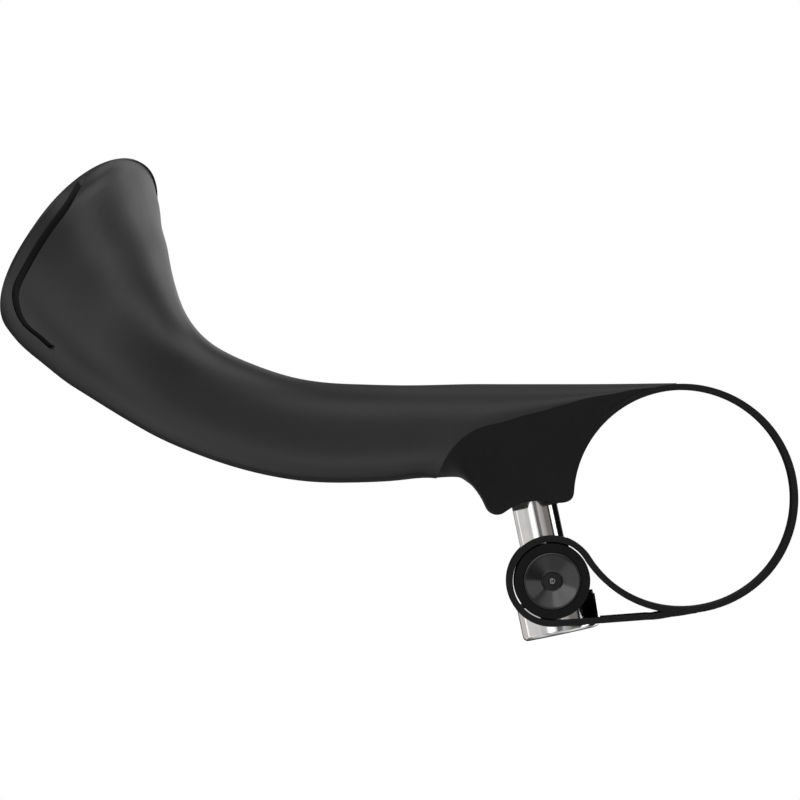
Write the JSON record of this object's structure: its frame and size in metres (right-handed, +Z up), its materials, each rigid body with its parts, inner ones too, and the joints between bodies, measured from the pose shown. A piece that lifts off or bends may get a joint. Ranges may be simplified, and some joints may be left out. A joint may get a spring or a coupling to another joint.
{
  "type": "bicycle mirror",
  "caption": "Handlebar mirror with a curved arm flaring into an oval head, ball-pivoted glass, wrap-around strap and a screw-drawn cross barrel.",
  "frame": {"origin": "centre of the clamped handlebar tube, half-way along the clamp's width", "axes": "+Y along the handlebar tube, +X away from the mirror head, +Z up from the tube to the arm's top"},
  "size_m": [0.1168, 0.0462, 0.071],
  "materials": {
    "satin_plastic": "satin moulded plastic, charcoal",
    "soft_rubber": "matte soft-touch elastomer, black",
    "strap_plastic": "matte tough plastic, black",
    "brass": "turned",
    "chrome": "bright plated",
    "steel": "plain",
    "barrel_plastic": "matte, black",
    "cap_gloss": "glossy, dark grey",
    "mirror": "convex, silvered",
    "foam": "adhesive foam",
    "carrier_plastic": "moulded, black",
    "acetal": "natural acetal"
  },
  "bodies": {
    "arm": {"arm_shell": "satin_plastic", "underside_cover": "satin_plastic", "clamp_base": "soft_rubber", "threaded_insert": "brass", "ball_stud": "steel", "strap": "strap_plastic"},
    "barrel": {"barrel": "barrel_plastic", "barrel_end_caps": "cap_gloss", "cap_pins": "steel", "thrust_washer": "steel"},
    "screw": {"clamp_screw": "chrome"},
    "liner": {"socket_liner": "acetal"},
    "mirror": {"mirror_glass": "mirror", "adhesive_pad": "foam", "glass_carrier": "carrier_plastic"}
  },
  "joints": [
    {"name": "barrel_travel", "type": "slide", "parent": "arm", "child": "barrel", "axis": [-0.2071, 0, 0.9783], "range_m": [-0.0035, 0.0025], "deforming": ["strap"]},
    {"name": "screw_turn", "type": "hinge", "parent": "barrel", "child": "screw", "pos_m": [-0.0191, 0, -0.0121], "axis": [-0.2071, 0, 0.9783], "range_deg": [-1570, 1120]},
    {"name": "glass_pan", "type": "hinge", "parent": "arm", "child": "liner", "pos_m": [-0.08304, -0.00239, 0.03094], "axis": [0.574, 0, 0.8188], "range_deg": [-3, 3]},
    {"name": "glass_tilt", "type": "hinge", "parent": "liner", "child": "mirror", "pos_m": [-0.08304, -0.00239, 0.03094], "axis": [-0.2476, -0.9532, 0.1736], "range_deg": [-3.2, 3.2]}
  ],
  "couplings": [
    {"joint": "barrel_travel", "follows": "screw_turn", "m_per_rad": 0.00012732}
  ]
}
